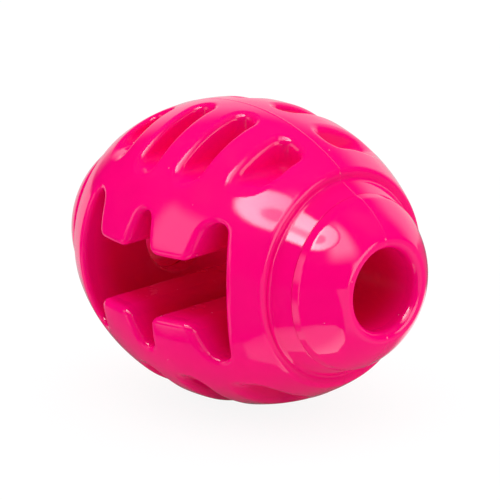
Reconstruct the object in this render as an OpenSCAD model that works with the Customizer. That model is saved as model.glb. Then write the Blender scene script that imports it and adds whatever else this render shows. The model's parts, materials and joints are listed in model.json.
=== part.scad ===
// Rugby ball dog toy: a thick rubber ball with a toothed bite slot right through its middle,
// moulded pockets over its belly and a stepped nose with a treat hole at each end.
// The long axis is X, the slot runs along Y, and the origin is the middle of the ball.

/* [Ball] */
// Diameter of the ball at its waist
ball_d = 81; // [78:0.5:84]
// Overall length, from the lip of one nose to the lip of the other
ball_len = 106; // [104:0.5:110]
// Radius of the arc that the belly follows from end to end
belly_r = 64; // [60:0.5:68]
// Distance from the middle to the flat end of the belly
belly_end = 36.5; // [35:0.25:37.5]
// Rounding of the belly's edge round its flat end
belly_edge_r = 1.5; // [0.5:0.25:2]

/* [Bite slot] */
// Length of the slot along the ball
slot_len = 54.5; // [52:0.5:57]
// Radius of the arc that each end wall of the slot follows
end_wall_r = 62; // [50:1:80]
// Clear height between the tips of the upper and lower teeth
tooth_clear = 16.4; // [12:0.2:18]
// Height of the slot at the roots of the gaps between the teeth
gap_clear = 36.5; // [35:0.5:39]
// Lean of each tooth's sides, which makes its root wider than its tip
tooth_lean = 15; // [8:1:18]
// Rounding of the tips of the teeth
tooth_tip_r = 2.6; // [1:0.2:3]
// Root radius of the gap in the middle of each row
mid_gap_r = 2.2; // [2:0.1:3]
// Root radius of the gap at each end of a row
end_gap_r = 3.1; // [2.8:0.1:4]

/* [Pockets] */
// Distance from the middle to the two inner pockets of a group
inner_pocket_x = 7.9; // [7.5:0.1:9]
// Width of an inner pocket
inner_pocket_w = 6.6; // [6.4:0.2:8]
// Distance from the middle to the two outer pockets of a group
outer_pocket_x = 24.5; // [23.5:0.1:25.5]
// Width of an outer pocket
outer_pocket_w = 8; // [7:0.2:9]
// Height of the shelf at the bottom of each pocket above the middle of the ball
pocket_shelf = 27; // [26:0.25:30]
// Thickness of the web that parts the front pockets from the rear ones
web_t = 10.5; // [6:0.5:12]
// Rounding of the pocket's corners against the web
pocket_corner_r = 3; // [1:0.25:3]

/* [Collars and noses] */
// Diameter of the collar where it meets the belly
collar_root_d = 52.5; // [50:0.5:54]
// Length of the collar along the ball
collar_len = 5.2; // [4.5:0.1:6]
// Lean of the collar's side, which draws it in towards the nose
collar_lean = 28; // [20:1:32]
// Rounding of the collar's outer edge
collar_edge_r = 0.5; // [0.25:0.25:1]
// Length of the wall at the foot of the nose, up to where its dome starts
nose_wall_len = 2.1; // [1:0.1:3]
// Lean of that wall
nose_wall_lean = 15; // [5:1:20]
// Radius of the nose's round dome
dome_r = 26.5; // [25:0.25:27.5]
// Diameter of the treat hole
hole_d = 22; // [20:0.5:23]
// Rounding of the lip round the treat hole
lip_r = 2.3; // [1.5:0.1:2.5]
// Diameter of the spigot that seats each nose in the belly
spigot_d = 34; // [32:0.5:36]
// Depth of the socket that takes the spigot, in from the belly's flat end
socket_depth = 5.5; // [4:0.25:5.75]

/* [Hidden] */
$fn = 96;
// Gap left round the spigot for the bond
bond_gap = 0.05;
// How far a cutter runs past the surface that it cuts
over = 10;
// How far the treat hole's cutter runs past each side of the slot's end wall
hole_over = 2;
// Straight pieces that make up each arc of the slot's and the pockets' outlines
arc_steps = 8;
// Half angle of the small flat at the root of the middle gap
root_flat = 5;
// Half angle of the small flat in the middle of each end wall
wall_flat = 1;
ball_r = ball_d / 2;
hole_r = hole_d / 2;
slot_end = slot_len / 2;
tooth_tip = tooth_clear / 2;
tip_z = tooth_tip + tooth_tip_r;
gap_root = gap_clear / 2;
// Centre of the arc of an end wall, and of the round root that runs into it
wall_x = slot_end - end_wall_r;
end_gap_z = gap_root - end_gap_r;
wall_turn = asin(end_gap_z / (end_wall_r - end_gap_r));
end_gap_x = wall_x + (end_wall_r - end_gap_r) * cos(wall_turn);
socket_r = spigot_d / 2 + bond_gap;
socket_floor = belly_end - socket_depth;
// Offset of the belly arc's centre from the long axis
belly_drop = belly_r - ball_r;
// Centre of the belly's edge rounding, and where the rounding leaves the arc
edge_at = belly_end - belly_edge_r;
edge_out = sqrt(pow(belly_r - belly_edge_r, 2) - pow(edge_at, 2)) - belly_drop;
edge_start = edge_at * belly_r / (belly_r - belly_edge_r);
collar_end = belly_end + collar_len;
// Centre of the lip's rounding, and of the dome that runs into it
lip_at = ball_len / 2 - lip_r;
lip_out = hole_r + lip_r;
dome_at = lip_at - sqrt(pow(dome_r - lip_r, 2) - pow(lip_out, 2));
// Where the dome starts, at the top of the nose's wall
dome_start = collar_end + nose_wall_len;
dome_foot_r = sqrt(pow(dome_r, 2) - pow(dome_start - dome_at, 2));
// Where the dome runs into the lip
lip_start = dome_at + (lip_at - dome_at) * dome_r / (dome_r - lip_r);
rubber = "#ee1f78";

// A profile of (radius, distance along the ball) turned about the long axis
module turned() {
  rotate([0, 90, 0])
    rotate_extrude()
      children();
}

// A profile in the XZ plane pushed right through the ball along Y
module through_y() {
  rotate([90, 0, 0])
    linear_extrude(height = ball_d + 2 * over, center = true)
      children();
}

// Half outline of the belly: one arc, flat ends and rounded edges
module belly_profile() {
  intersection() {
    translate([-belly_drop, 0])
      circle(r = belly_r);
    translate([0, -edge_start])
      square([ball_r, 2 * edge_start]);
  }
  translate([0, -belly_end])
    square([edge_out, 2 * belly_end]);
  for (side = [-1, 1])
    translate([edge_out, side * edge_at])
      circle(r = belly_edge_r);
}

// Points along an arc about a centre, from one angle to another
function arc(centre, radius, from, to) = [
  for (i = [0 : arc_steps])
    let (angle = from + (to - from) * i / arc_steps)
      centre + radius * [cos(angle), sin(angle)]
];

// The same points mirrored by a sign on each axis, and the same points in the other order
function flipped(points, side, row) = [for (p = points) [side * p[0], row * p[1]]];
function reversed(points) = [for (i = [len(points) - 1 : -1 : 0]) points[i]];

// Distance from the middle of a gap's root to the centre of the next tooth tip's rounding
function tip_x(root_r) =
  (root_r + tooth_tip_r + (gap_root - root_r - tip_z) * sin(tooth_lean)) / cos(tooth_lean);

// A quarter of the slot's outline: half the middle gap, one tooth, the end gap and half its wall
function slot_quarter() = concat(
  arc([0, gap_root - mid_gap_r], mid_gap_r, 90 - root_flat, tooth_lean),
  arc([tip_x(mid_gap_r), tip_z], tooth_tip_r, 180 + tooth_lean, 270),
  arc([end_gap_x - tip_x(end_gap_r), tip_z], tooth_tip_r, 270, 360 - tooth_lean),
  arc([end_gap_x, end_gap_z], end_gap_r, 180 - tooth_lean, wall_turn),
  arc([wall_x, 0], end_wall_r, wall_turn - wall_flat, wall_flat)
);

// Outline of the slot: a clear lane with gaps above and below it that leave two teeth a row
module slot_outline() {
  quarter = slot_quarter();
  polygon(concat(
    quarter,
    reversed(flipped(quarter, 1, -1)),
    flipped(quarter, -1, -1),
    reversed(flipped(quarter, -1, 1))
  ));
}

// Cutter for one pocket in the front: a flat shelf, straight sides and a rounded inner end
module pocket(width) {
  front = -ball_r - over;
  inner_end = -web_t / 2;
  corner_x = width / 2 - pocket_corner_r;
  corner_y = inner_end - pocket_corner_r;
  translate([0, 0, pocket_shelf])
    linear_extrude(height = ball_r + over - pocket_shelf)
      polygon(concat(
        [[-width / 2, front], [width / 2, front]],
        arc([corner_x, corner_y], pocket_corner_r, 0, 90),
        arc([-corner_x, corner_y], pocket_corner_r, 90, 180)
      ));
}

// The front half of the belly, up to the parting plane at y = 0
module front_half() {
  difference() {
    turned()
      belly_profile();
    translate([-ball_len / 2, 0, -ball_r - over])
      cube([ball_len, ball_r + over, ball_d + 2 * over]);
    through_y()
      slot_outline();
    for (row = [0, 1], side = [0, 1])
      mirror([0, 0, row])
        mirror([side, 0, 0]) {
          translate([inner_pocket_x, 0, 0])
            pocket(inner_pocket_w);
          translate([outer_pocket_x, 0, 0])
            pocket(outer_pocket_w);
        }
    for (side = [0, 1])
      mirror([side, 0, 0]) {
        translate([socket_floor, 0, 0])
          rotate([0, 90, 0])
            cylinder(r = socket_r, h = socket_depth + over);
        translate([slot_end - hole_over, 0, 0])
          rotate([0, 90, 0])
            cylinder(r = hole_r, h = socket_floor - slot_end + 2 * hole_over);
      }
  }
}

// A ring round the spigot, drawn in towards the nose, with a rounded outer edge
module collar() {
  root_r = collar_root_d / 2;
  edge_a = collar_end - collar_edge_r;
  edge_r = root_r - (edge_a - belly_end) * tan(collar_lean) - collar_edge_r / cos(collar_lean);
  side_r = edge_r + collar_edge_r * cos(collar_lean);
  side_a = edge_a + collar_edge_r * sin(collar_lean);
  turned() {
    polygon([
      [socket_r, belly_end],
      [root_r, belly_end],
      [side_r, side_a],
      [edge_r, edge_a],
      [edge_r, collar_end],
      [socket_r, collar_end]
    ]);
    translate([edge_r, edge_a])
      circle(r = collar_edge_r);
  }
}

// A domed plug with the treat hole through it, on the spigot that holds it in the belly
module nose() {
  turned() {
    translate([hole_r, socket_floor])
      square([spigot_d / 2 - hole_r, collar_end - socket_floor]);
    polygon([
      [hole_r, collar_end],
      [dome_foot_r + nose_wall_len * tan(nose_wall_lean), collar_end],
      [dome_foot_r, dome_start],
      [hole_r, dome_start]
    ]);
    intersection() {
      translate([0, dome_at])
        circle(r = dome_r);
      union() {
        translate([hole_r, dome_start])
          square([dome_r, lip_at - dome_start]);
        translate([lip_out, dome_start])
          square([dome_r, lip_start - dome_start]);
      }
    }
    translate([lip_out, lip_at])
      circle(r = lip_r);
  }
}

module front_half_shell() {
  color(rubber)
    front_half();
}

module rear_half_shell() {
  color(rubber)
    mirror([0, 1, 0])
      front_half();
}

module right_collar() {
  color(rubber)
    collar();
}

module left_collar() {
  color(rubber)
    mirror([1, 0, 0])
      collar();
}

module right_nose() {
  color(rubber)
    nose();
}

module left_nose() {
  color(rubber)
    mirror([1, 0, 0])
      nose();
}

front_half_shell();
rear_half_shell();
right_collar();
left_collar();
right_nose();
left_nose();
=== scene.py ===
import json
import math

import bmesh
import bpy
import numpy as np
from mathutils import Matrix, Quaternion, Vector


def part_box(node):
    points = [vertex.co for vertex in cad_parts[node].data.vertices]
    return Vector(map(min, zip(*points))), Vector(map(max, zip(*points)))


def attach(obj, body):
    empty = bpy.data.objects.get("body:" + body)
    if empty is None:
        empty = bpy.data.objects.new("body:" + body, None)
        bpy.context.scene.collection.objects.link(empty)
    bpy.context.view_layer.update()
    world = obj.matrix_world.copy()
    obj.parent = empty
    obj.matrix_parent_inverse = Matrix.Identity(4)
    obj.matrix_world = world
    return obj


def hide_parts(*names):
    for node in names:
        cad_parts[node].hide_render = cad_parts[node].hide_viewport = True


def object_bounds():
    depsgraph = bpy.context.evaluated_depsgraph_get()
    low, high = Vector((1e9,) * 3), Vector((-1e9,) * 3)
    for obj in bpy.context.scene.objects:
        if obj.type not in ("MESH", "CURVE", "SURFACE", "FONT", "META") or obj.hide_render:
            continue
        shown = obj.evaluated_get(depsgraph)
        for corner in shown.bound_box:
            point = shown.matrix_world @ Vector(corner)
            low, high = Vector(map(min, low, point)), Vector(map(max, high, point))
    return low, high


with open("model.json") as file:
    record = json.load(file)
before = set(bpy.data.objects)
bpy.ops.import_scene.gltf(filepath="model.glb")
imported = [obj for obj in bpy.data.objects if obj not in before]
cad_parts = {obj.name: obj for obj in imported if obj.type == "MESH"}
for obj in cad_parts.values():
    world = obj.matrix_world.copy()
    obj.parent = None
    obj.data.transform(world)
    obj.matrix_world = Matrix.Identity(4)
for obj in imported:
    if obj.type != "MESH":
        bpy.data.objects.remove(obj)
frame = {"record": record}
cad_low, cad_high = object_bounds()

# Half shells
# The belly of the ball: two halves of glossy pink rubber, moulded with their teeth, the bite slot
# and the pockets, and bonded face to face at y = 0, where a fine bead of rubber shows as a seam.
# The front half is grown as a skin round its measured shape, and the rear one is its mirror image.
mm = 0.001
shell_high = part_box("front_half_shell")[1]
ball_r = shell_high.z
belly_end = shell_high.x
belly_arc_r = 64 * mm
belly_drop = belly_arc_r - ball_r
belly_edge_r = 0.9 * mm

slot_end = 27.25 * mm
end_wall_r = 62 * mm
slot_rim_r = 2.2 * mm
tooth_tip = 8.2 * mm
tooth_tip_r = 2.6 * mm
tooth_lean = math.radians(15)
gap_root = 18.25 * mm
mid_gap_r = 2.2 * mm
end_gap_r = 3.1 * mm
end_gap_z = gap_root - end_gap_r
wall_x = slot_end - end_wall_r
end_gap_x = wall_x + math.sqrt((end_wall_r - end_gap_r) ** 2 - end_gap_z ** 2)

pockets = ((7.9 * mm, 6.6 * mm), (24.5 * mm, 8 * mm))
pocket_shelf = 27 * mm
pocket_corner_r = 3 * mm
pocket_foot_r = 2.8 * mm
pocket_rim_r = 2 * mm
web_t = 10.5 * mm

mounts = {mount["name"]: mount for mount in frame["record"]["mounts"]}
hole_r = mounts["right_treat_hole"]["dims"]["r_mm"] * mm
hole_rim_r = 0.8 * mm
hole_from = 25 * mm
nose_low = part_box("right_nose")[0]
socket_play = 0.1 * mm
socket_floor = nose_low.x - socket_play
spigot_bore_r = 17.05 * mm
socket_r = spigot_bore_r + socket_play

bead_h = 0.07 * mm
bead_w = 0.25 * mm
cell = 0.55 * mm
bead_cell = 0.08 * mm


def edge_rounded(a, b, radius):
    """What two solids share, with the edge where they meet rounded off. Inside is less than zero."""
    corner = np.hypot(np.maximum(a + radius, 0), np.maximum(b + radius, 0))
    return np.minimum(np.maximum(a, b), -radius) + corner


def filleted(a, b, radius):
    """Two solids run together, with a fillet in the corner between them."""
    corner = np.hypot(np.maximum(radius - a, 0), np.maximum(radius - b, 0))
    return np.maximum(np.minimum(a, b), radius) - corner


def gap_flank(across, z, root_r):
    """A gap between teeth, from its middle outwards: a round root and a side that leans."""
    up = z - (gap_root - root_r)
    side = across * math.cos(tooth_lean) + up * math.sin(tooth_lean) - root_r
    past_side = up * math.cos(tooth_lean) - across * math.sin(tooth_lean)
    return np.where(past_side > 0, np.hypot(across, up) - root_r, side)


def slot_room(x, z):
    """The bite slot: a clear lane, a gap in the middle of each row of teeth and one at each end."""
    lane = np.maximum(z - tooth_tip, x - end_gap_x)
    past_wall = z * (end_gap_x - wall_x) - (x - wall_x) * end_gap_z
    root = np.hypot(x - end_gap_x, z - end_gap_z) - end_gap_r
    wall = np.where(past_wall > 0, root, np.hypot(x - wall_x, z) - end_wall_r)
    end_gap = np.where(x < end_gap_x, gap_flank(end_gap_x - x, z, end_gap_r), wall)
    gaps = np.minimum(gap_flank(x, z, mid_gap_r), end_gap)
    return filleted(lane, gaps, tooth_tip_r)


def pocket_room(x, y, z, width):
    """One pocket: straight sides, a rounded inner end and a flat shelf with a fillet round it."""
    side = np.abs(x) - width / 2 + pocket_corner_r
    inner = web_t / 2 - y + pocket_corner_r
    corner = np.hypot(np.maximum(side, 0), np.maximum(inner, 0))
    plan = corner + np.minimum(np.maximum(side, inner), 0) - pocket_corner_r
    return edge_rounded(plan, pocket_shelf - z, pocket_foot_r)


def shell_skin(x, y, z):
    """Distance from the skin of the belly, less than zero in the rubber."""
    x, y, z = np.abs(x), np.abs(y), np.abs(z)
    from_axis = np.hypot(y, z)
    belly = np.hypot(from_axis + belly_drop, x) - belly_arc_r
    rubber = edge_rounded(belly, x - belly_end, belly_edge_r)
    rubber = edge_rounded(rubber, -slot_room(x, z), slot_rim_r)
    for middle, width in pockets:
        rubber = edge_rounded(rubber, -pocket_room(x - middle, y, z, width), pocket_rim_r)
    hole = np.maximum(from_axis - hole_r, hole_from - x)
    rubber = edge_rounded(rubber, -hole, hole_rim_r)
    socket = np.maximum(from_axis - socket_r, socket_floor - x)
    rubber = np.maximum(rubber, -socket)
    return rubber + bead_h * (1 - np.exp(-((y / bead_w) ** 2)))


def skin_slope(skin, points):
    """Which way, and how fast, the distance from a skin grows at each point."""
    step = 0.01 * mm
    slopes = []
    for axis in np.eye(3):
        ahead = skin(*(points + step * axis).T)
        behind = skin(*(points - step * axis).T)
        slopes.append((ahead - behind) / (2 * step))
    return np.stack(slopes, axis=1)


def grown_skin(skin, lines):
    """Points, four-sided faces and normals of a skin: one point in each grid cell that it crosses."""
    depth = skin(*np.meshgrid(*lines, indexing="ij"))
    solid = depth < 0
    cells = tuple(n - 1 for n in depth.shape)
    total = np.zeros(cells + (3,))
    crossings = np.zeros(cells)
    for axis in range(3):
        for shift in np.ndindex(2, 2):
            near = list(np.insert(shift, axis, 0))
            far = list(np.insert(shift, axis, 1))
            a = depth[tuple(slice(s, s + n) for s, n in zip(near, cells))]
            b = depth[tuple(slice(s, s + n) for s, n in zip(far, cells))]
            crossed = (a < 0) != (b < 0)
            share = np.where(crossed, a / np.where(crossed, a - b, 1), 0)
            for k in range(3):
                place = lines[k][near[k]:near[k] + cells[k]]
                gap = lines[k][far[k]:far[k] + cells[k]] - place
                shape = [1, 1, 1]
                shape[k] = -1
                where = place.reshape(shape) + share * gap.reshape(shape)
                total[..., k] += np.where(crossed, where, 0)
            crossings += crossed
    used = crossings > 0
    points = total[used] / crossings[used][:, None]
    number = np.full(cells, -1)
    number[used] = np.arange(len(points))
    faces = []
    for axis in range(3):
        rubber = np.moveaxis(solid, axis, 0)
        cell_number = np.moveaxis(number, axis, 0)
        i, b, c = np.nonzero(rubber[1:, 1:-1, 1:-1] != rubber[:-1, 1:-1, 1:-1])
        corners = ((b, c), (b + 1, c), (b + 1, c + 1), (b, c + 1))
        quads = np.stack([cell_number[i, p, q] for p, q in corners], axis=1)
        outward = rubber[i, b + 1, c + 1] != (axis == 1)
        faces.append(np.where(outward[:, None], quads, quads[:, ::-1]))
    settling_rounds = 4
    least_slope = 0.1
    for _ in range(settling_rounds):
        slope = skin_slope(skin, points)
        off = skin(*points.T) / np.maximum((slope ** 2).sum(axis=1), least_slope)
        points -= off[:, None] * slope
    slope = skin_slope(skin, points)
    normals = slope / np.linalg.norm(slope, axis=1)[:, None]
    return points, np.concatenate(faces), normals


def even_steps(low, high, step):
    """Places from low to high at about the same step."""
    return np.linspace(low, high, round((high - low) / step) + 1)


half_x = belly_end + 2 * cell
half_z = ball_r + 2 * cell
fine_to = 4 * bead_w
y_lines = np.concatenate([
    even_steps(-ball_r, -fine_to, cell)[:-1],
    np.arange(-fine_to, bead_cell, bead_cell) + bead_cell / 2,
])
shell_points, shell_faces, shell_normals = grown_skin(
    shell_skin, [even_steps(-half_x, half_x, cell), y_lines, even_steps(-half_z, half_z, cell)]
)


def placed(name, data):
    """A new object, put in the scene."""
    thing = bpy.data.objects.new(name, data)
    bpy.context.scene.collection.objects.link(thing)
    return thing


def half_shell(name, side):
    """One half: the grown skin, closed by a flat face at the seam. Side is -1 in front and 1 behind."""
    mesh = bpy.data.meshes.new(name)
    flip = np.array([1, -side, 1])
    faces = shell_faces[:, ::-side]
    mesh.from_pydata((shell_points * flip).tolist(), [], faces.tolist())
    bm = bmesh.new()
    bm.from_mesh(mesh)
    rim = [edge for edge in bm.edges if edge.is_boundary]
    seam_face = bmesh.ops.triangle_fill(bm, use_beauty=True, edges=rim, normal=(0, -side, 0))
    for part in seam_face["geom"]:
        if isinstance(part, bmesh.types.BMFace) and part.normal.y * side > 0:
            part.normal_flip()
    bm.to_mesh(mesh)
    bm.free()
    mesh.shade_smooth()
    corner_point = np.zeros(len(mesh.loops), dtype=int)
    mesh.loops.foreach_get("vertex_index", corner_point)
    normals = (shell_normals * flip)[corner_point]
    normals[shell_faces.size:] = (0, -side, 0)
    mesh.normals_split_custom_set(normals.tolist())
    return placed(name, mesh)


def reckon(tree, operation, *values):
    """A sum of numbers or of other nodes' outputs, as a new output in the tree."""
    node = tree.nodes.new("ShaderNodeMath")
    node.operation = operation
    for socket, value in zip(node.inputs, values):
        if isinstance(value, (int, float)):
            socket.default_value = value
        else:
            tree.links.new(value, socket)
    return node.outputs["Value"]


def ranged(tree, value, low, high, to_low, to_high):
    """An output carried smoothly from one range to another, and held at its ends."""
    node = tree.nodes.new("ShaderNodeMapRange")
    node.interpolation_type = "SMOOTHSTEP"
    tree.links.new(value, node.inputs["Value"])
    for socket, limit in zip(("From Min", "From Max", "To Min", "To Max"), (low, high, to_low, to_high)):
        node.inputs[socket].default_value = limit
    return node.outputs["Result"]


def rubber_skin_and_shade():
    """Finish of moulded rubber: mottling, haze, orange peel, slight waves, dust, and painted shade that
    turns the hollows deep red.
    """
    group = bpy.data.node_groups.new("rubber_skin_and_shade", "ShaderNodeTree")
    for name in ("Colour", "Hollow Shade Colour", "Mottle", "Roughness", "Haze", "Peel", "Waves", "Dust"):
        kind = "NodeSocketColor" if "Colour" in name else "NodeSocketFloat"
        group.interface.new_socket(name, in_out="INPUT", socket_type=kind)
    for name in ("Colour", "Roughness", "Height"):
        kind = "NodeSocketColor" if name == "Colour" else "NodeSocketFloat"
        group.interface.new_socket(name, in_out="OUTPUT", socket_type=kind)
    nodes = group.nodes
    link = group.links.new
    given = nodes.new("NodeGroupInput").outputs
    result = nodes.new("NodeGroupOutput").inputs
    place = nodes.new("ShaderNodeTexCoord").outputs["Object"]

    def noise(scale, detail):
        texture = nodes.new("ShaderNodeTexNoise")
        texture.inputs["Scale"].default_value = scale
        texture.inputs["Detail"].default_value = detail
        link(place, texture.inputs["Vector"])
        return texture.outputs["Fac"]

    def hypot(a, b):
        return reckon(group, "SQRT", reckon(group, "MULTIPLY_ADD", a, a, reckon(group, "MULTIPLY", b, b)))

    def blend(share, colour, other):
        mix = nodes.new("ShaderNodeMix")
        mix.data_type = "RGBA"
        link(share, mix.inputs["Factor"])
        link(colour, mix.inputs["A"])
        if isinstance(other, tuple):
            mix.inputs["B"].default_value = other
        else:
            link(other, mix.inputs["B"])
        return mix.outputs["Result"]

    axes = nodes.new("ShaderNodeSeparateXYZ")
    link(place, axes.inputs["Vector"])
    x, y, z = axes.outputs
    out = reckon(group, "ADD", hypot(y, z), belly_drop)
    depth = reckon(group, "SUBTRACT", belly_arc_r, hypot(out, x))
    # Painted shade: the colour turns to the darker deep colour below the belly's skin, near the slot's
    # height, standing in for the shade in the slot and the bores
    red_from_z, full_red_z = 23 * mm, 20 * mm
    red_from_depth, full_red_depth = 2 * mm, 11 * mm
    level = ranged(group, reckon(group, "ABSOLUTE", z), red_from_z, full_red_z, 0, 1)
    deep = reckon(group, "MULTIPLY", ranged(group, depth, red_from_depth, full_red_depth, 0, 1), level)

    flow = ranged(group, noise(55, 3), 0.3, 0.7, -1, 1)
    shade = nodes.new("ShaderNodeHueSaturation")
    # The painted shade is blended into the rubber's colour here, before the mottling
    link(blend(deep, given["Colour"], given["Hollow Shade Colour"]), shade.inputs["Color"])
    link(reckon(group, "ADD", reckon(group, "MULTIPLY", flow, given["Mottle"]), 1), shade.inputs["Value"])

    speck_r = 0.09
    speck_draw = 0.985
    speck_colour = (0.85, 0.6, 0.68, 1)
    specks = nodes.new("ShaderNodeTexVoronoi")
    specks.inputs["Scale"].default_value = 700
    link(place, specks.inputs["Vector"])
    draw = nodes.new("ShaderNodeSeparateColor")
    link(specks.outputs["Color"], draw.inputs["Color"])
    size = reckon(group, "LESS_THAN", specks.outputs["Distance"], speck_r)
    chosen = reckon(group, "GREATER_THAN", draw.outputs["Red"], speck_draw)
    dust = reckon(group, "MULTIPLY", reckon(group, "MULTIPLY", size, chosen), given["Dust"])
    link(blend(dust, shade.outputs["Color"], speck_colour), result["Colour"])

    haze = reckon(group, "MULTIPLY", ranged(group, noise(140, 4), 0.48, 0.72, 0, 1), given["Haze"])
    link(reckon(group, "ADD", given["Roughness"], haze), result["Roughness"])

    peel = reckon(group, "MULTIPLY", noise(1100, 2), given["Peel"])
    waves = reckon(group, "MULTIPLY", noise(95, 1), given["Waves"])
    link(reckon(group, "ADD", peel, waves), result["Height"])
    return group


rubber_group = rubber_skin_and_shade()


def pink_rubber(name, colour, hollow_shade_colour, shine, mottle, roughness, haze, peel, waves, dust):
    """Hot pink rubber with the shared moulded finish, including the painted shade in its hollows."""
    material = bpy.data.materials.new(name)
    material.use_nodes = True
    tree = material.node_tree
    gloss = tree.nodes["Principled BSDF"]
    gloss.inputs["IOR"].default_value = 1.5
    gloss.inputs["Specular IOR Level"].default_value = shine
    finish = tree.nodes.new("ShaderNodeGroup")
    finish.node_tree = rubber_group
    values = {
        "Colour": (*colour, 1), "Hollow Shade Colour": (*hollow_shade_colour, 1), "Mottle": mottle,
        "Roughness": roughness, "Haze": haze, "Peel": peel, "Waves": waves, "Dust": dust,
    }
    for socket, value in values.items():
        finish.inputs[socket].default_value = value
    bump = tree.nodes.new("ShaderNodeBump")
    bump.inputs["Strength"].default_value = 1
    bump.inputs["Distance"].default_value = 1
    tree.links.new(finish.outputs["Colour"], gloss.inputs["Base Color"])
    tree.links.new(finish.outputs["Roughness"], gloss.inputs["Roughness"])
    tree.links.new(finish.outputs["Height"], bump.inputs["Height"])
    tree.links.new(bump.outputs["Normal"], gloss.inputs["Normal"])
    return material


hot_pink = (0.9, 0.0005, 0.17)
# Painted shade: the darker red painted into the slot and the bores, where they lie in shade
hollow_shade_red = (0.78, 0.0004, 0.072)
belly_rubber = pink_rubber(
    "belly_rubber", hot_pink, hollow_shade_red, shine=0.44,
    mottle=0.03, roughness=0.085, haze=0.03, peel=0.002 * mm, waves=0.12 * mm, dust=0.8
)
hollow_rubber = pink_rubber(
    "hollow_rubber", hot_pink, hollow_shade_red, shine=0.05,
    mottle=0.03, roughness=0.2, haze=0.1, peel=0.002 * mm, waves=0.1 * mm, dust=0.8
)
hollow_depth = 4 * mm


def rubber_faces(piece, skin):
    """Gives a piece its glossy skin, and duller rubber on the faces deep in its hollows."""
    piece.data.materials.append(skin)
    piece.data.materials.append(hollow_rubber)
    for face in piece.data.polygons:
        middle = face.center
        out = math.hypot(middle.y, middle.z) + belly_drop
        depth = belly_arc_r - math.hypot(out, middle.x)
        if depth > hollow_depth:
            face.material_index = 1


for half, side in (("front_half_shell", -1), ("rear_half_shell", 1)):
    shell = half_shell("belly_" + half, side)
    rubber_faces(shell, belly_rubber)
    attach(shell, "root")
    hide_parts(half)

# Collars
# The stepped ring at each end of the belly, of the same rubber, drawn in towards the nose.
# It is turned from one outline, with a small fillet at its root and a rounded outer edge.
collar_low, collar_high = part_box("right_collar")
collar_from = collar_low.x
collar_to = collar_high.x
collar_root_r = collar_high.z
collar_lean = math.radians(28)
collar_edge_r = 0.5 * mm
collar_foot_r = 1.6 * mm


def arc(centre, radius, start, end, steps=10):
    """Points along an arc, such as one in the outline of a turned piece. Angles are in degrees."""
    angles = np.radians(np.linspace(start, end, steps + 1))
    return [(centre[0] + radius * math.cos(a), centre[1] + radius * math.sin(a)) for a in angles]


def turn_angles(around_r):
    """Angles for a turned piece from the top seam all the way round, close together beside the seams."""
    beside = np.array([0, 0.5, 1, 1.5, 2, 2.8, 4]) * bead_w / around_r
    quarter = np.concatenate([beside, np.linspace(beside[-1], math.pi / 2, 36)[1:]])
    half = np.concatenate([quarter, math.pi - quarter[-2::-1]])
    return np.concatenate([half, 2 * math.pi - half[-2:0:-1]])


def turned(name, outline, side):
    """A ring turned about the long axis from a closed outline, with the seam's bead along it."""
    outline = np.array(outline)
    ahead = np.roll(outline, -1, axis=0) - np.roll(outline, 1, axis=0)
    out = np.stack([-ahead[:, 1], ahead[:, 0]], axis=1)
    out /= np.linalg.norm(out, axis=1)[:, None]
    angles = turn_angles(outline[:, 1].max())
    points = []
    for angle in angles:
        y = outline[:, 1] * math.sin(angle)
        sunk = bead_h * (1 - np.exp(-((y / bead_w) ** 2)))
        along, radius = (outline - out * sunk[:, None]).T
        points += list(zip(side * along, -radius * math.sin(angle), radius * math.cos(angle)))
    count = len(outline)
    rings = len(angles)
    faces = []
    for i in range(rings):
        for k in range(count):
            a, b = i * count, (i + 1) % rings * count
            face = (a + k, b + k, b + (k + 1) % count, a + (k + 1) % count)
            faces.append(face if side > 0 else face[::-1])
    mesh = bpy.data.meshes.new(name)
    mesh.from_pydata(points, [], faces)
    mesh.shade_smooth()
    mesh.set_sharp_from_angle(angle=math.radians(30))
    return placed(name, mesh)


lean_deg = math.degrees(collar_lean)
foot_out = collar_root_r + collar_foot_r * (1 / math.cos(collar_lean) - math.tan(collar_lean))
edge_x = collar_to - collar_edge_r
edge_in = (edge_x - collar_from) * math.tan(collar_lean) + collar_edge_r / math.cos(collar_lean)
collar_outline = (
    [(collar_from, spigot_bore_r)]
    + arc((collar_from + collar_foot_r, foot_out), collar_foot_r, 180, 270 - lean_deg)
    + arc((edge_x, collar_root_r - edge_in), collar_edge_r, 90 - lean_deg, 0)
    + [(collar_to, spigot_bore_r)]
)
end_rubber = pink_rubber(
    "end_rubber", hot_pink, hollow_shade_red, shine=0.6,
    mottle=0.02, roughness=0.06, haze=0.03, peel=0.0015 * mm, waves=0.04 * mm, dust=0.6
)
for hand, side in (("right", 1), ("left", -1)):
    collar = turned(hand + "_collar_ring", collar_outline, side)
    rubber_faces(collar, end_rubber)
    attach(collar, "root")
    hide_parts(hand + "_collar")

# Noses
# The plug in each end, of the same rubber: a short wall, a dome, and a round lip at the treat hole.
# It is turned from one outline and bonded into the belly by the spigot behind it.
nose_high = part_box("right_nose")[1]
nose_tip = nose_high.x
dome_r = 26.5 * mm
wall_len = 2.1 * mm
wall_lean = math.radians(15)
lip_r = 2.3 * mm
spigot_r = 17 * mm
crest_r = 4 * mm
lip_x = nose_tip - lip_r
lip_out = hole_r + lip_r
dome_x = lip_x - math.sqrt((dome_r - lip_r) ** 2 - lip_out ** 2)
lip_deg = math.degrees(math.atan2(lip_out, lip_x - dome_x))
wall_to = collar_to + wall_len
wall_out = math.sqrt(dome_r ** 2 - (wall_to - dome_x) ** 2)
wall_foot = wall_out + wall_len * math.tan(wall_lean)
wall_turn = math.atan2(wall_out, wall_to - dome_x)
wall_deg = math.degrees(wall_turn)
crest_reach = crest_r * math.tan((math.pi / 2 - wall_lean - wall_turn) / 2)
crest_x = wall_to - crest_reach * math.cos(wall_lean) - crest_r * math.sin(wall_lean)
crest_out = wall_out + crest_reach * math.sin(wall_lean) - crest_r * math.cos(wall_lean)
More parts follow.
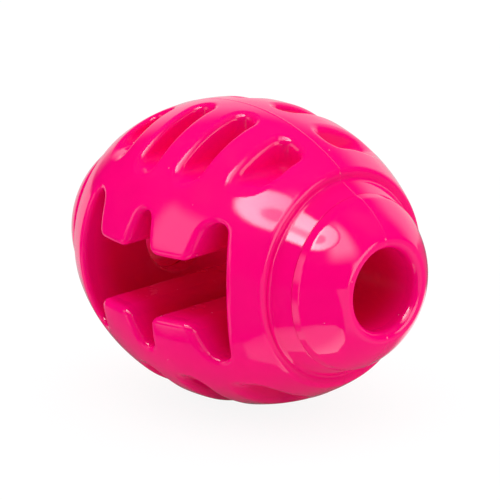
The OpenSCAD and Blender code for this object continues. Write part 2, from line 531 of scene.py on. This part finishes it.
# The rounded crest of the wall takes the place of the dome's first two points
nose_outline = (
    [(nose_low.x, spigot_r), (collar_to, spigot_r)]
    + [(collar_to, wall_foot)]
    + arc((crest_x, crest_out), crest_r, 90 - math.degrees(wall_lean), wall_deg)
    + arc((dome_x, 0), dome_r, wall_deg, lip_deg, 24)[2:]
    + arc((lip_x, lip_out), lip_r, lip_deg, -90, 20)[1:]
    + [(x, hole_r) for x in np.linspace(lip_x, nose_low.x, 12)[1:]]
)
for hand, side in (("right", 1), ("left", -1)):
    nose = turned(hand + "_nose_plug", nose_outline, side)
    rubber_faces(nose, end_rubber)
    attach(nose, "root")
    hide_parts(hand + "_nose")

# Studio
# A white table in an even room, darker in front and at the left. The gloss shows a round softbox with its
# lamp head, white cards round the ball, a bounce card on the table and the pale parts of the table top.


def face_ball(thing, azimuth, elevation, far, roll):
    """Sets a thing off from the ball, facing it. Azimuth 0 is straight in front of the slot."""
    a, e = math.radians(azimuth), math.radians(elevation)
    away = Vector((math.sin(a) * math.cos(e), -math.cos(a) * math.cos(e), math.sin(e)))
    thing.location = away * far
    thing.rotation_mode = "QUATERNION"
    thing.rotation_quaternion = (-away).to_track_quat("-Z", "Y") @ Quaternion((0, 0, 1), roll)


def flat_stage(name, corners, height):
    """A level sheet that isn't part of the ball, with a material of its own to fill in."""
    mesh = bpy.data.meshes.new(name)
    mesh.from_pydata([(x, y, height) for x, y in corners], [], [range(len(corners))])
    sheet = placed(name, mesh)
    finish = bpy.data.materials.new(name)
    finish.use_nodes = True
    finish.cycles.emission_sampling = "NONE"
    mesh.materials.append(finish)
    return sheet, finish.node_tree


# The table, nearly all white to the camera and plain pale paint to every other ray
table_r = 8
table_white = 0.9
table, tree = flat_stage("table", arc((0, 0), table_r, 0, 360, 96)[:-1], cad_low.z)
table.visible_glossy = False
paint = tree.nodes["Principled BSDF"]
paint.inputs["Base Color"].default_value = (0.96, 0.96, 0.96, 1)
paint.inputs["Roughness"].default_value = 0.9
paint.inputs["Specular IOR Level"].default_value = 0.1
white = tree.nodes.new("ShaderNodeEmission")
path = tree.nodes.new("ShaderNodeLightPath")
seen_white = reckon(tree, "MULTIPLY", path.outputs["Is Camera Ray"], table_white)
shown = tree.nodes.new("ShaderNodeMixShader")
tree.links.new(seen_white, shown.inputs["Fac"])
tree.links.new(paint.outputs["BSDF"], shown.inputs[1])
tree.links.new(white.outputs["Emission"], shown.inputs[2])
tree.links.new(shown.outputs["Shader"], tree.nodes["Material Output"].inputs["Surface"])


def gloss_sheet(name, corners, height):
    """A glowing sheet that only the ball's gloss shows, with its nodes and the socket for its strength."""
    sheet, tree = flat_stage(name, corners, height)
    for other in ("camera", "diffuse", "shadow"):
        setattr(sheet, "visible_" + other, False)
    tree.nodes.remove(tree.nodes["Principled BSDF"])
    glow = tree.nodes.new("ShaderNodeEmission")
    tree.links.new(glow.outputs["Emission"], tree.nodes["Material Output"].inputs["Surface"])
    axes = tree.nodes.new("ShaderNodeSeparateXYZ")
    tree.links.new(tree.nodes.new("ShaderNodeTexCoord").outputs["Object"], axes.inputs["Vector"])
    return sheet, tree, axes.outputs, glow.inputs["Strength"]


def distance(tree, axes, x, y):
    """Distance on a sheet from one of its points."""
    aside = reckon(tree, "SUBTRACT", axes["X"], x)
    ahead = reckon(tree, "SUBTRACT", axes["Y"], y)
    square = reckon(tree, "MULTIPLY", ahead, ahead)
    return reckon(tree, "SQRT", reckon(tree, "MULTIPLY_ADD", aside, aside, square))


# The pale parts of the table top, to the right, to the left and behind
sheet_lift = 0.1 * mm
top_corners = (
    (2, 0.5), (0.1, 0.7), (-0.2, 2), (-2, 2), (-2, -0.053),
    (0.07, -0.053), (0.074, -0.02), (0.12, -0.048), (2, -1.3)
)
_, tree, axes, strength = gloss_sheet("table_top", top_corners, cad_low.z + sheet_lift)
right_glow = ranged(tree, axes["X"], 0.066, 0.086, 0.15, 0.45)
right_fade = ranged(tree, axes["Y"], 0.03, 0.08, 1, 0.1)
lit_right = reckon(tree, "MULTIPLY", right_glow, right_fade)
lit_left = ranged(tree, axes["X"], -0.05, -0.14, 0.15, 0.7)
lit_behind = ranged(tree, distance(tree, axes, 0.02, 0.075), 0.02, 0.05, 1.2, 0.15)
lit = reckon(tree, "MAXIMUM", lit_right, reckon(tree, "MAXIMUM", lit_left, lit_behind))
tree.links.new(lit, strength)

# The bounce card on the table, in front of the right end
patch_corners = (
    (0.031, -0.05), (0.04, -0.056), (0.062, -0.054), (0.08, -0.037), (0.077, -0.024),
    (0.064, -0.015), (0.052, -0.013), (0.042, -0.02), (0.029, -0.038)
)
_, tree, axes, strength = gloss_sheet("bounce_card", patch_corners, cad_low.z + 2 * sheet_lift)
lit_front = ranged(tree, axes["Y"], -0.06, -0.042, 0.2, 0.8)
lit_back = ranged(tree, axes["Y"], -0.03, -0.014, 0, 1.1)
tree.links.new(reckon(tree, "ADD", lit_front, lit_back), strength)

# The softbox, high up to the front right, with a dim lamp head below its middle and a soft edge
box_r = 0.3
box_stretch = (1.2, 0.92, 1)
box_radiance = 10
edge_from = 0.23
head_y = -0.055
head_from, head_to = 0.06, 0.12
head_radiance = 0.35 * box_radiance
softbox, tree, axes, strength = gloss_sheet("softbox", arc((0, 0), box_r, 0, 360, 48)[:-1], 0)
softbox.scale = box_stretch
face_ball(softbox, azimuth=35, elevation=57.5, far=0.9, roll=math.radians(8))
glow = ranged(tree, distance(tree, axes, 0, head_y), head_from, head_to, head_radiance, box_radiance)
fade = ranged(tree, distance(tree, axes, 0, 0), edge_from, box_r, 1, 0)
dimming = ranged(tree, axes["X"], -0.25, 0.25, 1.25, 0.6)
tree.links.new(reckon(tree, "MULTIPLY", reckon(tree, "MULTIPLY", glow, fade), dimming), strength)

# The room round the table: pale cards to the gloss, plain light to the rest and white to the camera
room = bpy.data.worlds.new("room")
room.use_nodes = True
room.cycles.sampling_method = "NONE"
bpy.context.scene.world = room
room_tree = room.node_tree
outward = room_tree.nodes.new("ShaderNodeTexCoord").outputs["Generated"]


def card(azimuth, elevation, half_width, half_height, soft, strength):
    """Strength of a soft-edged patch of the room, such as a pale card, placed and sized in degrees."""
    turned_way = room_tree.nodes.new("ShaderNodeVectorRotate")
    turned_way.rotation_type = "Z_AXIS"
    turned_way.inputs["Angle"].default_value = -math.radians(azimuth)
    room_tree.links.new(outward, turned_way.inputs["Vector"])
    axes = room_tree.nodes.new("ShaderNodeSeparateXYZ")
    room_tree.links.new(turned_way.outputs["Vector"], axes.inputs["Vector"])
    behind = reckon(room_tree, "MULTIPLY", axes.outputs["Y"], -1)
    side = reckon(room_tree, "ABSOLUTE", reckon(room_tree, "ARCTAN2", axes.outputs["X"], behind))
    height = reckon(room_tree, "ARCSINE", axes.outputs["Z"])
    rise = reckon(room_tree, "SUBTRACT", height, math.radians(elevation))
    shares = []
    for offset, half in ((side, half_width), (reckon(room_tree, "ABSOLUTE", rise), half_height)):
        outer, inner = math.radians(half + soft), math.radians(half - soft)
        shares.append(ranged(room_tree, offset, outer, inner, 0, 1))
    return reckon(room_tree, "MULTIPLY", reckon(room_tree, "MULTIPLY", *shares), strength)


# The cards from the front left round to the right and behind
cards = (
    card(-24, 20, 14, 14, soft=5, strength=2.1),
    card(-3, 0, 4, 20, soft=3, strength=1.2),
    card(-29, -29, 20, 11, soft=6, strength=1.1),
    card(101, 3, 21, 21, soft=4, strength=3.3),
    card(70, 52, 18, 18, soft=10, strength=4),
    card(140, 55, 18, 15, soft=8, strength=0.1),
    card(-150, 10, 38, 22, soft=10, strength=1),
)
in_gloss = cards[0]
for more in cards[1:]:
    in_gloss = reckon(room_tree, "ADD", in_gloss, more)
gloss_room = room_tree.nodes.new("ShaderNodeBackground")
room_tree.links.new(in_gloss, gloss_room.inputs["Strength"])

# The room's plain light, with its two darker sides and the light from above
open_strength, dark_strength = 1.28, 0.27
dark_front = card(40, 0, 55, 32, soft=18, strength=1)
dim_left = card(-95, 0, 40, 35, soft=20, strength=0.65)
room_light = room_tree.nodes["Background"]
room_light.inputs["Color"].default_value = (1, 1, 1, 1)
above = card(0, 90, 180, 45, soft=20, strength=0.5)
darkness = reckon(room_tree, "MAXIMUM", dark_front, dim_left)
around = ranged(room_tree, darkness, 0, 1, open_strength, dark_strength)
room_tree.links.new(reckon(room_tree, "ADD", around, above), room_light.inputs["Strength"])
backdrop = room_tree.nodes.new("ShaderNodeBackground")
backdrop.inputs["Color"].default_value = (1, 1, 1, 1)
path = room_tree.nodes.new("ShaderNodeLightPath")
shown = room_light
for ray, look in (("Is Glossy Ray", gloss_room), ("Is Camera Ray", backdrop)):
    choose = room_tree.nodes.new("ShaderNodeMixShader")
    room_tree.links.new(path.outputs[ray], choose.inputs["Fac"])
    room_tree.links.new(shown.outputs[0], choose.inputs[1])
    room_tree.links.new(look.outputs["Background"], choose.inputs[2])
    shown = choose
room_tree.links.new(shown.outputs["Shader"], room_tree.nodes["World Output"].inputs["Surface"])

# The camera, to the front right and a little above
camera_data = bpy.data.cameras.new("camera")
camera_data.sensor_width = 36
camera_data.lens = 347
camera_data.shift_x = 0.0065
camera_data.shift_y = -0.0007
camera = placed("camera", camera_data)
face_ball(camera, azimuth=47.2, elevation=17.15, far=1.278, roll=math.radians(-1.2))
bpy.context.scene.camera = camera
bpy.context.scene.view_settings.view_transform = "Standard"

bpy.context.view_layer.update()
